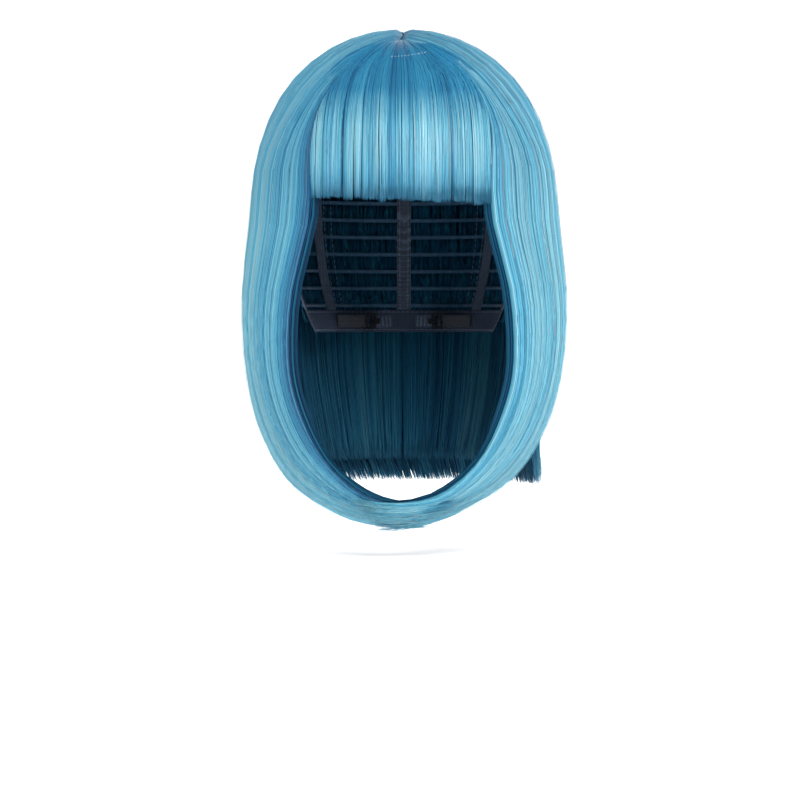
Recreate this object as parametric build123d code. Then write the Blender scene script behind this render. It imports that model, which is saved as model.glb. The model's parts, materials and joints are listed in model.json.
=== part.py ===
from build123d import *

import math
import os

# A shoulder-length bob wig with a straight fringe, as worn: the face looks along -Y and +Z is up.
# The origin is the middle of the head's girth plane, where the wearer's head sits.
# Left is the wearer's left, +X. All sizes are millimetres.

# The head that the cap is sewn to fit: half an ellipsoid above the girth plane and a longer half below it.
HEAD_HALF_WIDTH = 74.0
HEAD_HALF_DEPTH = 93.0
HEAD_RISE = 92.0
HEAD_DROP = 130.0

# Outside of the hair over the crown, an ellipsoid a little behind the head's middle.
HAIR_HALF_WIDTH = 92.0
HAIR_HALF_DEPTH = 110.0
HAIR_RISE = 101.0
HAIR_SET_BACK = 6.0

# Layers of the cap, as distances out from the head.
TAPE_THICKNESS = 0.8
TRACK_THICKNESS = 1.2
HAIR_START = TAPE_THICKNESS + TRACK_THICKNESS + 0.2

# Cap outline.
CROWN_NET_RIM = 4.0
BAND_WIDTH = 16.0
BAND_FRONT_HEIGHT = 26.0
BAND_EAR_HEIGHT = -16.0
BAND_BACK_END = 6.0
NAPE_BAND_TOP = -74.0
NAPE_BAND_BOTTOM = -88.0
EAR_TAPE_WIDTH = 7.0
RIB_WIDTH = 9.0
RIB_ANGLES = {"centre": 0.0, "left": 42.0, "right": -42.0}
EAR_TAB_WIDTH = 20.0
EAR_TAB_MIDDLE = -24.0
EAR_TAB_BOTTOM = -46.0

# Weft tracks: rows of machine-sewn hair, ear to ear across the back and over the crown.
TRACK_HEIGHT = 2.4
BACK_TRACK_COUNT = 7
BACK_TRACK_TOP = -4.0
TRACK_PITCH = 11.0
CROWN_TRACK_COUNT = 4
CROWN_TRACK_BOTTOM = 16.0
CROWN_TRACK_PITCH = 14.0
CROWN_TRACK_FRONT = -30.0
FRONT_TRACK_COUNT = 3
FRONT_TRACK_PITCH = 9.0
FRONT_TRACK_RISE = 2.0

# Parting patch on the crown, running back from the fringe's root.
PARTING_WIDTH = 32.0
PARTING_FRONT = -62.0
PARTING_BACK = 4.0
PARTING_MARGIN = 0.5

# Hair regions.
SPLIT_HEIGHT = 12.0
CROWN_HAIR_BOTTOM = 15.0
FRINGE_HALF_WIDTH = 52.0
FRINGE_TOP = 22.0
FRINGE_BOTTOM = -11.0
FRINGE_LIFT = 20.0
FRINGE_HINGE_Y = -66.0
FRINGE_CLEARANCE = 11.0
SEAM_Y = 12.0
SEAM_GAP = 0.5
BACK_SWING = 15.0
BACK_HINGE_Y = 60.0
NAPE_SWING = 12.0
NAPE_HINGE_Y = 50.0
SWING_MARGIN = 0.5

# Adjusters at the nape: an elastic strap with a moulded hook that catches one of a row of loops.
ADJUSTER_HEIGHT = 8.0
ADJUSTER_INNER_X = 9.0
ADJUSTER_OUTER_X = 42.0
ADJUSTER_CLEARANCE = 2.8
HOOK_LENGTH = 11.0
HOOK_THICKNESS = 1.6
HOOK_BORDER = 1.0
HOOK_CORNER = 1.5
HOOK_SLOT = 1.8
HOOK_WINDOW = 3.0
TONGUE_LENGTH = 3.0
TONGUE_WIDTH = 3.6
TONGUE_TIP = 0.6
STRAP_THICKNESS = 0.9
STRAP_FOOT = 4.0
STRAP_GAP = 0.2
LINING_THICKNESS = 1.0
LOOP_PITCH = 5.0
LOOP_COUNT = 3
HOOK_TRAVEL = LOOP_PITCH * (LOOP_COUNT - 1)
HOOK_START = TONGUE_LENGTH + HOOK_TRAVEL + 0.5

BIG = 600.0


def block(x, y, z):
    """A box from three (low, high) pairs."""
    size = [high - low for low, high in (x, y, z)]
    middle = [(high + low) / 2 for low, high in (x, y, z)]
    return Pos(*middle) * Box(*size)


def half_ellipsoid(half_width, half_depth, rise, upper):
    """The upper or lower half of an ellipsoid about the origin."""
    whole = scale(Sphere(1.0), by=(half_width, half_depth, rise))
    height = (0, BIG) if upper else (-BIG, 0)
    return whole & block((-BIG, BIG), (-BIG, BIG), height)


def head_form(out):
    """The head, grown outwards by out."""
    width, depth = HEAD_HALF_WIDTH + out, HEAD_HALF_DEPTH + out
    top = half_ellipsoid(width, depth, HEAD_RISE + out, True)
    bottom = half_ellipsoid(width, depth, HEAD_DROP + out, False)
    return top + bottom


def layer(inner, outer):
    """The shell between two distances out from the head."""
    return head_form(outer) - head_form(inner)


def band_slab(low, high):
    """The tilted space between two heights above the front band's lower edge."""
    tilt = math.degrees(math.atan2(BAND_FRONT_HEIGHT - BAND_EAR_HEIGHT, HEAD_HALF_DEPTH))
    return Pos(0, 0, BAND_EAR_HEIGHT) * Rot(-tilt, 0, 0) * block((-BIG, BIG), (-BIG, BIG), (low, high))


def head_outline(z):
    """Half the head's width and depth at a height below the girth plane."""
    share = math.sqrt(1 - (z / HEAD_DROP) ** 2)
    return HEAD_HALF_WIDTH * share, HEAD_HALF_DEPTH * share


# ---------------------------------------------------------------- the cap

def crown_net(tape):
    """The net dome over the crown, behind and above the front band."""
    dome = tape & block((-BIG, BIG), (-BIG, BIG), (CROWN_NET_RIM, BIG))
    return dome & band_slab(BAND_WIDTH, BIG)


def front_band(tape):
    """The band along the forehead, from ear to ear."""
    return tape & band_slab(0, BAND_WIDTH) & block((-BIG, BIG), (-BIG, BAND_BACK_END), (-BIG, BIG))


def ear_tab(tape, side):
    """A tab with a round end that hangs from the front band in front of the ear."""
    radius = EAR_TAB_WIDTH / 2
    outline = Pos(0, EAR_TAB_MIDDLE, EAR_TAB_BOTTOM + radius) * Rot(0, 90, 0) * Cylinder(radius, BIG)
    low, high = EAR_TAB_MIDDLE - radius, EAR_TAB_MIDDLE + radius
    outline += block((-BIG / 2, BIG / 2), (low, high), (EAR_TAB_BOTTOM + radius, EAR_TAB_WIDTH))
    half = block((0, BIG) if side > 0 else (-BIG, 0), (-BIG, BIG), (-BIG, BIG))
    return (tape & outline & half) - band_slab(0, BIG)


def rib_tape(tape, angle):
    """An upright lace tape from the crown net down to the nape band. Angle is from straight back."""
    slot = Rot(0, 0, angle) * block((-RIB_WIDTH / 2, RIB_WIDTH / 2), (0, BIG), (NAPE_BAND_TOP, CROWN_NET_RIM))
    return tape & slot


def ear_tape(tape, side):
    """The upright tape behind the ear, from the crown net's rim down to the nape band."""
    x = (0, BIG) if side > 0 else (-BIG, 0)
    slot = block(x, (BAND_BACK_END, BAND_BACK_END + EAR_TAPE_WIDTH), (NAPE_BAND_TOP, CROWN_NET_RIM))
    return tape & slot & band_slab(-BIG, BAND_WIDTH)


def nape_band(tape):
    """The band across the nape, from ear tape to ear tape."""
    return tape & block((-BIG, BIG), (BAND_BACK_END, BIG), (NAPE_BAND_BOTTOM, NAPE_BAND_TOP))


def front_track(track, row):
    """One row of weft track above the front band. It carries the fringe, either side of the parting."""
    low = BAND_WIDTH + FRONT_TRACK_RISE + row * FRONT_TRACK_PITCH
    front = block((-BIG, BIG), (-BIG, CROWN_TRACK_FRONT - SEAM_GAP), (-BIG, BIG))
    return (track & band_slab(low, low + TRACK_HEIGHT) & front) - parting_outline(PARTING_MARGIN)


def back_track(track, row):
    """One row of weft track across the back."""
    top = BACK_TRACK_TOP - row * TRACK_PITCH
    return track & block((-BIG, BIG), (BAND_BACK_END, BIG), (top - TRACK_HEIGHT, top))


def crown_track(track, row):
    """One ring of weft track over the crown, open at the front where the fringe and the parting are."""
    bottom = CROWN_TRACK_BOTTOM + row * CROWN_TRACK_PITCH
    return track & block((-BIG, BIG), (CROWN_TRACK_FRONT, BIG), (bottom, bottom + TRACK_HEIGHT))


def parting_outline(margin):
    """The parting patch's outline as an upright block, grown by margin."""
    half = PARTING_WIDTH / 2 + margin
    return block((-half, half), (PARTING_FRONT - margin, PARTING_BACK + margin), (0, BIG))


def parting_skin(track):
    """The skin-coloured patch that the parting's hair is knotted into."""
    return track & parting_outline(0)


# ---------------------------------------------------------------- adjusters at the nape

def adjuster_frame(side):
    """Where an adjuster lies: a plane on the nape band's inside, its x pointing outwards along the strap."""
    z = (NAPE_BAND_TOP + NAPE_BAND_BOTTOM) / 2
    width, depth = head_outline(z)
    ends = []
    for x in (ADJUSTER_INNER_X, ADJUSTER_OUTER_X):
        y = depth * math.sqrt(1 - (x / width) ** 2)
        ends.append(Vector(side * x, y, z))
    along = (ends[1] - ends[0]).normalized()
    inward = Vector(-side * abs(along.Y), -abs(along.X), 0)
    start = ends[0] + inward * ADJUSTER_CLEARANCE
    return Plane(origin=start, x_dir=along, z_dir=inward), (ends[1] - ends[0]).length


def strap_hook(side):
    """The moulded hook: a plate with a slot that holds the strap, and a tongue that turns under a loop."""
    plane, _ = adjuster_frame(side)
    strap = ADJUSTER_HEIGHT / 2
    half = strap + HOOK_BORDER
    heel = HOOK_START + HOOK_LENGTH
    plate = block((HOOK_START, heel), (-half, half), (0, HOOK_THICKNESS))
    plate = fillet(plate.edges().filter_by(Axis.Z), HOOK_CORNER)
    through = (-HOOK_THICKNESS, 2 * HOOK_THICKNESS)
    slot_end = heel - HOOK_BORDER
    slot = block((slot_end - HOOK_SLOT, slot_end), (-strap, strap), through)
    middle = HOOK_START + HOOK_LENGTH / 2 - HOOK_BORDER
    window = Pos(middle, 0, 0) * Box(HOOK_WINDOW, 2 * HOOK_WINDOW, 4 * HOOK_THICKNESS)
    tongue_end = HOOK_START - TONGUE_LENGTH
    across = (-TONGUE_WIDTH / 2, TONGUE_WIDTH / 2)
    tongue = block((tongue_end, HOOK_START), across, (0, HOOK_THICKNESS))
    tip = block((tongue_end, tongue_end + HOOK_BORDER), across, (-TONGUE_TIP, 0))
    return plane * (plate - slot - window + tongue + tip)


def adjuster_strap(side):
    """The elastic strap from the hook out to its sewn foot on the nape band."""
    plane, length = adjuster_frame(side)
    across = (-ADJUSTER_HEIGHT / 2, ADJUSTER_HEIGHT / 2)
    start = HOOK_START + HOOK_LENGTH + STRAP_GAP
    strap = block((start, length), across, (STRAP_GAP, STRAP_GAP + STRAP_THICKNESS))
    foot = block((length - STRAP_FOOT, length), across, (-2 * ADJUSTER_CLEARANCE, STRAP_GAP))
    return plane * strap + (plane * foot & head_form(0))


def loop_tape(lining, side):
    """The short tape with a row of raised loops on the nape band's inside."""
    middle = (NAPE_BAND_TOP + NAPE_BAND_BOTTOM) / 2
    half = ADJUSTER_HEIGHT / 2
    near = ADJUSTER_INNER_X - TONGUE_LENGTH / 2
    far = near + HOOK_TRAVEL + HOOK_LENGTH
    x = (near, far) if side > 0 else (-far, -near)
    return lining & block(x, (0, BIG), (middle - half, middle + half))


# ---------------------------------------------------------------- hair

def hair_form():
    """The outside of the hair from the crown down to the fringe's ends."""
    dome = half_ellipsoid(HAIR_HALF_WIDTH, HAIR_HALF_DEPTH, HAIR_RISE, True)
    skirt = extrude(Ellipse(HAIR_HALF_WIDTH, HAIR_HALF_DEPTH), 2 * FRINGE_BOTTOM)
    return Pos(0, HAIR_SET_BACK, 0) * (dome + skirt)


def fringe_room():
    """The space that the crown hair leaves for the fringe: its own place and the wedge that it lifts into."""
    width = FRINGE_HALF_WIDTH + SEAM_GAP
    place = block((-width, width), (-BIG, FRINGE_HINGE_Y), (-BIG, FRINGE_TOP + SEAM_GAP))
    wedge = block((-width, width), (-BIG, 0), (-HEAD_RISE, 0))
    return place + Pos(0, FRINGE_HINGE_Y, FRINGE_TOP + SEAM_GAP) * Rot(-FRINGE_LIFT, 0, 0) * wedge


def crown_hair_left(hair):
    """The left half of the hair over the crown, from the parting down to where the lengths begin."""
    half = hair & block((0, BIG), (-BIG, BIG), (CROWN_HAIR_BOTTOM, BIG))
    return half - fringe_room()


def fringe_hair(hair):
    """The straight fringe over the forehead."""
    return hair & block(
        (-FRINGE_HALF_WIDTH, FRINGE_HALF_WIDTH),
        (-BIG, FRINGE_HINGE_Y),
        (FRINGE_BOTTOM, FRINGE_TOP),
    )


def arc_section(front, middle, rear, thickness):
    """A curved slab's section: an arc through three points, and the inside nearer the arc's centre."""
    outer = Edge.make_three_point_arc(Vector(*front), Vector(*middle), Vector(*rear))
    centre = outer.arc_center
    inner_points = []
    for point in (front, middle, rear):
        out = Vector(*point) - centre
        inner_points.append(centre + out * (1 - thickness / out.length))
    inner = Edge.make_three_point_arc(*inner_points)
    ends = [
        Edge.make_line(Vector(*front), inner_points[0]),
        Edge.make_line(Vector(*rear), inner_points[2]),
    ]
    return Wire([outer, ends[1], inner, ends[0]])


# A side length from the temple down, curling forward under the chin to meet the other side.
# Each section is its front edge, its middle and its rear edge on the outside, then its thickness.
SIDE_SECTIONS = [
    ((58.0, -80.0, SPLIT_HEIGHT), (85.0, -37.0, SPLIT_HEIGHT), (91.5, 10.5, SPLIT_HEIGHT), 10.0),
    ((60.0, -82.0, -16.0), (87.5, -38.0, -16.0), (94.5, 10.5, -16.0), 10.0),
    ((69.5, -76.0, -55.0), (92.0, -36.0, -55.0), (98.5, 10.5, -55.0), 10.0),
    ((72.5, -72.0, -93.0), (92.5, -36.0, -97.0), (98.0, 10.5, -100.0), 10.0),
    ((69.0, -71.0, -122.0), (84.0, -42.0, -133.0), (90.5, 8.5, -143.0), 10.0),
    ((59.0, -72.0, -148.0), (69.0, -52.0, -163.0), (73.5, -12.0, -177.0), 10.0),
    ((44.0, -75.0, -168.0), (50.0, -64.0, -182.0), (54.5, -40.0, -192.0), 10.0),
    ((23.0, -78.0, -182.0), (28.0, -71.0, -193.0), (32.0, -57.0, -202.0), 10.0),
    ((0.3, -80.0, -188.0), (0.3, -77.0, -198.0), (0.3, -69.0, -207.0), 10.0),
]

# The outer length at the back: half-width at its front edge, depth at the middle of the back, height.
BACK_SECTIONS = [
    (91.5, 115.0, SPLIT_HEIGHT),
    (94.5, 116.0, -16.0),
    (98.0, 115.0, -55.0),
    (97.0, 111.0, -95.0),
    (91.0, 104.0, -135.0),
    (82.0, 96.0, -165.0),
    (75.0, 90.0, -184.0),
]
BACK_THICKNESS = 11.0

# The shorter layer under it, sewn to the lowest tracks.
NAPE_SECTIONS = [
    (75.0, 92.0, -64.0),
    (74.0, 90.0, -100.0),
    (70.0, 83.0, -138.0),
    (62.0, 74.0, -170.0),
]
NAPE_THICKNESS = 9.0
NAPE_FRONT_EDGE = 15.0


def side_hair(side):
    """One side length."""
    sections = []
    for front, middle, rear, thickness in SIDE_SECTIONS:
        points = [(side * x, y, z) for x, y, z in (front, middle, rear)]
        sections.append(arc_section(*points, thickness))
    length = Solid.make_loft(sections, ruled=False)
    width = FRINGE_HALF_WIDTH + SEAM_GAP
    return length - block((-width, width), (-BIG, 0), (FRINGE_BOTTOM - FRINGE_CLEARANCE, BIG))


def wrap(sections, edge_y, thickness):
    """A length of hair that wraps the back of the head, through level sections."""
    wires = []
    for half_width, depth, height in sections:
        right = (-half_width, edge_y, height)
        middle = (0, depth, height)
        left = (half_width, edge_y, height)
        wires.append(arc_section(right, middle, left, thickness))
    return Solid.make_loft(wires, ruled=False)


def swing_room(hinge_y, top, swing):
    """The wedge behind a hinge, below the length's top, that the length rises into as it swings back."""
    slope = Pos(0, hinge_y, top) * Rot(-swing - SWING_MARGIN, 0, 0)
    return slope * block((-BIG, BIG), (0, BIG), (0, BIG))


def back_hair():
    """The outer length at the back."""
    whole = wrap(BACK_SECTIONS, SEAM_Y + SEAM_GAP, BACK_THICKNESS)
    return whole - swing_room(BACK_HINGE_Y, SPLIT_HEIGHT, BACK_SWING)


def nape_hair():
    """The under layer at the nape."""
    whole = wrap(NAPE_SECTIONS, NAPE_FRONT_EDGE, NAPE_THICKNESS)
    return whole - swing_room(NAPE_HINGE_Y, NAPE_SECTIONS[0][2], NAPE_SWING)


def main():
    tape = layer(0, TAPE_THICKNESS)
    track = layer(TAPE_THICKNESS, TAPE_THICKNESS + TRACK_THICKNESS)
    lining = layer(-LINING_THICKNESS, 0)
    hair = hair_form() - head_form(HAIR_START)
    parts = {
        "crown_net": crown_net(tape),
        "parting_skin": parting_skin(track),
        "front_band": front_band(tape),
        "nape_band": nape_band(tape),
        "fringe_hair": fringe_hair(hair),
        "back_hair": back_hair(),
        "nape_hair": nape_hair(),
    }
    parts["crown_hair_left"] = crown_hair_left(hair)
    parts["crown_hair_right"] = mirror(parts["crown_hair_left"], about=Plane.YZ)
    for name, angle in RIB_ANGLES.items():
        parts[f"rib_tape_{name}"] = rib_tape(tape, -angle)
    for row in range(BACK_TRACK_COUNT):
        parts[f"back_weft_track_{row + 1}"] = back_track(track, row)
    for row in range(FRONT_TRACK_COUNT):
        parts[f"front_weft_track_{row + 1}"] = front_track(track, row)
    for row in range(CROWN_TRACK_COUNT):
        parts[f"crown_weft_track_{row + 1}"] = crown_track(track, row)
    for word, side in (("left", 1), ("right", -1)):
        parts[f"ear_tab_{word}"] = ear_tab(tape, side)
        parts[f"ear_tape_{word}"] = ear_tape(tape, side)
        parts[f"side_hair_{word}"] = side_hair(side)
        parts[f"loop_tape_{word}"] = loop_tape(lining, side)
        parts[f"adjuster_strap_{word}"] = adjuster_strap(side)
        parts[f"strap_hook_{word}"] = strap_hook(side)
    os.makedirs("parts", exist_ok=True)
    for name, shape in parts.items():
        export_step(shape, f"parts/{name}.step")
        print(name, round(shape.volume))


main()
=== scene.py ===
import json
import math

import bpy
import numpy as np
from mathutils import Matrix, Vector

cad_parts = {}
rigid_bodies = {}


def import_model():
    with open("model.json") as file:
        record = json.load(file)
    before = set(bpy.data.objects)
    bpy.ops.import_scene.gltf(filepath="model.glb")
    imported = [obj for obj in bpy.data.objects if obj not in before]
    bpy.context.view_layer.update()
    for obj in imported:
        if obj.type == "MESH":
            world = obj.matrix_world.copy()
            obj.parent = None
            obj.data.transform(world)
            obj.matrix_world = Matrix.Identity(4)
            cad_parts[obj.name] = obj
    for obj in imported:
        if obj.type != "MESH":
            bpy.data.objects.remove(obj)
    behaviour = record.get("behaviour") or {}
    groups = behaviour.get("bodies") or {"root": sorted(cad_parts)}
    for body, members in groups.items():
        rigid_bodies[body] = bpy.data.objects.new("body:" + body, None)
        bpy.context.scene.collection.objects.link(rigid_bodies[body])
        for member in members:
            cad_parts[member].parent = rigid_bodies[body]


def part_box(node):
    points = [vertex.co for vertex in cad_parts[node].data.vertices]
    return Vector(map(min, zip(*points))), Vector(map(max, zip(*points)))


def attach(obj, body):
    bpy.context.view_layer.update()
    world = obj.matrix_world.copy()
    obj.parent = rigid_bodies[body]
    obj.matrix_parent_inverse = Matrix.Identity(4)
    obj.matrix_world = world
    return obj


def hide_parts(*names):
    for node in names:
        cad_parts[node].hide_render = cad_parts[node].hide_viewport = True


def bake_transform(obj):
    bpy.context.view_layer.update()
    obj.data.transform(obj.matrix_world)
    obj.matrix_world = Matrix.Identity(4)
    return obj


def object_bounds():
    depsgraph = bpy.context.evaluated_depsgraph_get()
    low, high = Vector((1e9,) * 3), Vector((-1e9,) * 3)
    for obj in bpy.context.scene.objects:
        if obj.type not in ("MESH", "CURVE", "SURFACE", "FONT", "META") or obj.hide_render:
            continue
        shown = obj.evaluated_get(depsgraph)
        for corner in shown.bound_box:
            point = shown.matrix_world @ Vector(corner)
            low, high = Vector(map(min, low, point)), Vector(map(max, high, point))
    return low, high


# A costume wig, in metres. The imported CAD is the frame, and its cap stays in view. The hair is made here in
# sheets: a sheet has a share u across it, and its strands run from root to tip through rows of control points.
# Every strand is a closed, tapered, three-sided tube. Its texture coordinates carry its tone and its length.

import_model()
CAD_LOW, CAD_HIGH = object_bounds()

MM = 0.001

# The texture layer, and how much of the tone ramp a strand's width spans.
BAKE_LAYER = "OFBake"
TONE_WIDTH = 0.012

# Samples along a strand's spline, and how strongly they crowd towards the root.
SPLINE_STEPS = 90
ROOT_CROWDING = 0.9

# How much a strand's points spread over its flat parts, against its bends.
FLAT_EFFORT = 0.5

# The first part of a strand's length, where its points lie at the same places as its neighbours'.
SAME_PART = 0.55

# The outside of the hair over the crown, an ellipsoid that the CAD crown hair gives.
_, crown_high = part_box("crown_hair_left")
back_low, back_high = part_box("back_hair")
CROWN_TOP = crown_high.z
CROWN_CENTRE = np.array([0.0, 0.059 * CROWN_TOP, 0.0])
CROWN_RADII = np.array([1.011 * crown_high.x, 1.011 * (crown_high.y - CROWN_CENTRE[1]), CROWN_TOP])

# The head under the cap, which the net dome gives.
_, net_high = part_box("crown_net")
HEAD_RADII = np.array([net_high.x, net_high.y, net_high.z]) - 0.8 * MM
HEAD_DROP = 1.41 * HEAD_RADII[2]


def share_point(box, share):
    """The point at shares of a box, from its lowest corner to its highest."""
    low, high = box
    return np.array([low[i] + share[i] * (high[i] - low[i]) for i in range(3)])


def unit(v):
    return v / np.linalg.norm(v, axis=-1, keepdims=True)


def add_object(name, data):
    made = bpy.data.objects.new(name, data)
    bpy.context.scene.collection.objects.link(made)
    return made


def face_mesh(name, points, faces, material):
    """A smooth-shaded object of the given points and faces."""
    mesh = bpy.data.meshes.new(name)
    mesh.from_pydata(points, [], faces)
    mesh.polygons.foreach_set("use_smooth", [True] * len(faces))
    mesh.materials.append(material)
    return add_object(name, mesh)


# ---- strands

def spline_basis(knots, samples):
    """The matrix that turns values at the knots into a natural cubic spline's values at the samples."""
    count = len(knots)
    gaps = np.diff(knots)
    system = np.eye(count)
    load = np.zeros((count, count))
    for i in range(1, count - 1):
        system[i, i - 1:i + 2] = [gaps[i - 1], 2 * (gaps[i - 1] + gaps[i]), gaps[i]]
        load[i, i - 1:i + 2] = [6 / gaps[i - 1], -6 / gaps[i - 1] - 6 / gaps[i], 6 / gaps[i]]
    bend = np.linalg.solve(system, load)
    cell = np.clip(np.searchsorted(knots, samples) - 1, 0, count - 2)
    gap = gaps[cell]
    after = (samples - knots[cell]) / gap
    before = 1 - after
    basis = np.zeros((len(samples), count))
    rows = np.arange(len(samples))
    basis[rows, cell] = before
    basis[rows, cell + 1] = after
    bend_share = (gap ** 2 / 6)[:, None]
    basis += bend_share * (before ** 3 - before)[:, None] * bend[cell]
    basis += bend_share * (after ** 3 - after)[:, None] * bend[cell + 1]
    return basis


def smooth(controls, normals):
    """Smooth lines through rows of control points, sampled closest at the root, and their directions out."""
    steps = np.linalg.norm(np.diff(controls, axis=1), axis=2).mean(0)
    knots = np.concatenate([[0], np.cumsum(steps)])
    even = np.linspace(0, 1, SPLINE_STEPS)
    basis = spline_basis(knots, knots[-1] * (even - ROOT_CROWDING * even * (1 - even) ** 2))
    lines = np.einsum("kc,ncd->nkd", basis, controls)
    outward = unit(np.einsum("kc,ncd->nkd", basis, normals))
    return lines, outward


def bend_shares(lines, points):
    """Shares along the lines of a sheet, closest together where the sheet bends most."""
    steps = np.diff(lines, axis=1)
    lengths = np.linalg.norm(steps, axis=2)
    turns = np.linalg.norm(np.diff(unit(steps + 1e-12), axis=1), axis=2).mean(0)
    gaps = lengths.mean(0)
    effort = np.sqrt(np.concatenate([turns[:1], turns]) * gaps) + FLAT_EFFORT * gaps
    total = np.concatenate([[0], np.cumsum(effort)])
    return np.interp(np.linspace(0, total[-1], points), total, np.linspace(0, 1, len(total)))


def end_places(shares, stop):
    """The shares at which each strand has its points. Strands differ only past the first part, so that
    neighbours bend at the same places and don't show through each other."""
    past = np.clip(shares - SAME_PART, 0, None) / (1 - SAME_PART)
    return np.minimum(shares, SAME_PART)[None, :] + past[None, :] * (stop - SAME_PART)[:, None]


def trim(values, places):
    """The values of each line at its own places, as shares of its length."""
    place = np.clip(places, 0, 1) * (values.shape[1] - 1)
    cell = np.minimum(place.astype(int), values.shape[1] - 2)
    part = (place - cell)[..., None]
    rows = np.arange(len(values))[:, None]
    return values[rows, cell] * (1 - part) + values[rows, cell + 1] * part


def width_profile(along, root=0.55, taper=0.1):
    """A strand's width at shares of its length: narrow at the root, full, and tapered at the tip."""
    swell = root + (1 - root) * np.clip(along / 0.15, 0, 1)
    tip = np.clip((1 - along) / taper, 0, 1)
    return swell * (0.12 + 0.88 * tip ** 0.7)


def tube_mesh(name, lines, outward, widths, tones, along, material, ridge=0.34):
    """One mesh of closed three-sided tubes. lines is (strands, points, 3), and widths and along, the share
    of the length at which each point lies, are (strands, points)."""
    count, points, _ = lines.shape
    tangents = unit(np.gradient(lines, axis=1) + 1e-12)
    across = unit(np.cross(tangents, outward) + 1e-12)
    normal = np.cross(across, tangents)
    half = (widths / 2)[..., None]
    rings = np.stack([
        lines + across * half - normal * half * ridge,
        lines - across * half - normal * half * ridge,
        lines + normal * half * 2 * ridge,
    ], axis=2)
    ids = np.arange(count * points * 3).reshape(count, points, 3)
    nxt = np.roll(ids, -1, axis=2)
    quads = np.stack([ids[:, :-1], nxt[:, :-1], nxt[:, 1:], ids[:, 1:]], axis=-1).reshape(-1, 4)
    caps = np.concatenate([ids[:, 0, ::-1], ids[:, -1, :]])
    uv = np.zeros((count, points, 4, 2))
    uv[..., 0] = tones[:, None, None] + np.arange(4) / 3 * TONE_WIDTH
    uv[..., 1] = along[..., None]
    corners = np.stack([
        uv[:, :-1, :3], uv[:, :-1, 1:], uv[:, 1:, 1:], uv[:, 1:, :3],
    ], axis=-2).reshape(-1, 2)
    cap_corners = np.concatenate([uv[:, 0, :3], uv[:, -1, :3]]).reshape(-1, 2)
    mesh = bpy.data.meshes.new(name)
    mesh.vertices.add(ids.size)
    mesh.vertices.foreach_set("co", rings.astype(np.float32).ravel())
    corner_ids = np.concatenate([quads.ravel(), caps.ravel()])
    mesh.loops.add(len(corner_ids))
    mesh.loops.foreach_set("vertex_index", corner_ids.astype(np.int32))
    starts = np.concatenate([np.arange(len(quads)) * 4, len(quads) * 4 + np.arange(len(caps)) * 3])
    mesh.polygons.add(len(starts))
    mesh.polygons.foreach_set("loop_start", starts.astype(np.int32))
    mesh.polygons.foreach_set("use_smooth", np.ones(len(starts), bool))
    layer = mesh.uv_layers.new(name=BAKE_LAYER)
    layer.data.foreach_set("uv", np.concatenate([corners, cap_corners]).astype(np.float32).ravel())
    mesh.update(calc_edges=True)
    mesh.materials.append(material)
    piece = add_object(name, mesh)
    return piece


# ---- sheets

def arc_row(front, middle, rear, u):
    """Points at shares u of the arc through three points, and the directions out from its centre."""
    ab, ac = middle - front, rear - front
    axis = np.cross(ab, ac)
    offset = (ac @ ac) * np.cross(axis, ab) + (ab @ ab) * np.cross(ac, axis)
    centre = front + offset / (2 * (axis @ axis))
    radius = np.linalg.norm(front - centre)
    first = (front - centre) / radius
    second = np.cross(unit(axis), first)
    full = math.atan2((rear - centre) @ second, (rear - centre) @ first) % (2 * math.pi)
    turn = (u * full)[:, None]
    out = np.cos(turn) * first + np.sin(turn) * second
    return centre + radius * out, out


def crown_row(root, pull, foot, s, depth):
    """A row over the crown: a share s of the way along each strand's arc from its root to its foot.
    foot isn't a unit vector: its length says how far its end stands off the ellipsoid."""
    stand = np.linalg.norm(foot, axis=1, keepdims=True)
    way = unit((1 - s) ** 2 * root + 2 * s * (1 - s) * pull + s * s * foot / stand)
    swell = 1 + (stand - 1) * s * s
    return CROWN_CENTRE + way * swell * (CROWN_RADII - depth[:, None]), unit(way / CROWN_RADII)


def crown_rows(root, pull, foot, depth):
    """All the rows over the crown, and their outward directions."""
    points, normals = [], []
    for number, share in enumerate(CROWN_SHARES):
        sink = depth * (0.55 + 0.45 * share) * (number > 0)
        if number < len(CROWN_SINKS):
            sink = sink + CROWN_SINKS[number]
        point, normal = crown_row(root, pull, foot, share, np.broadcast_to(sink, depth.shape))
        points.append(point)
        normals.append(normal)
    return points, normals


def great_pull(root, foot):
    """The middle control that makes the arc from root to foot the straight way over the crown."""
    cosine = np.sum(root * foot, axis=1, keepdims=True)
    return (root + foot) / (1 + cosine)


def make_locks(rng, low, high, count):
    """Places and pulls of the locks that strands gather into."""
    step = (high - low) / count
    centres = low + step * (np.arange(count) + 0.5) + rng.normal(0, 0.42 * step, count)
    return np.sort(centres), rng.random(count) ** 1.6


def gathered(u, locks, strength):
    """Shares drawn towards the nearest lock's centre, by that lock's own pull."""
    centres, pulls = locks
    nearest = np.abs(u[:, None] - centres[None, :]).argmin(1)
    return u + (centres[nearest] - u) * strength * pulls[nearest]


def lock_offsets(rng, u, locks, size):
    """One random offset for each lock, given to all the strands in it."""
    centres, _ = locks
    return rng.normal(0, size, len(centres))[np.abs(u[:, None] - centres[None, :]).argmin(1)]


# How strongly a sheet's first row gathers into locks, and how much more each row of a side or the back does.
FIRST_GATHER = 0.3
SIDE_GATHER = 0.12
BACK_GATHER = 0.2

# A strand starts at the skin of the parting and rises to the outside of the hair within a few millimetres.
CROWN_SHARES = (0.0, 0.02, 0.05, 0.13, 0.28, 0.48, 0.72)
CROWN_SINKS = (3.8 * MM, 2.3 * MM, 1.9 * MM, 1.5 * MM, 0.7 * MM)

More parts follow.
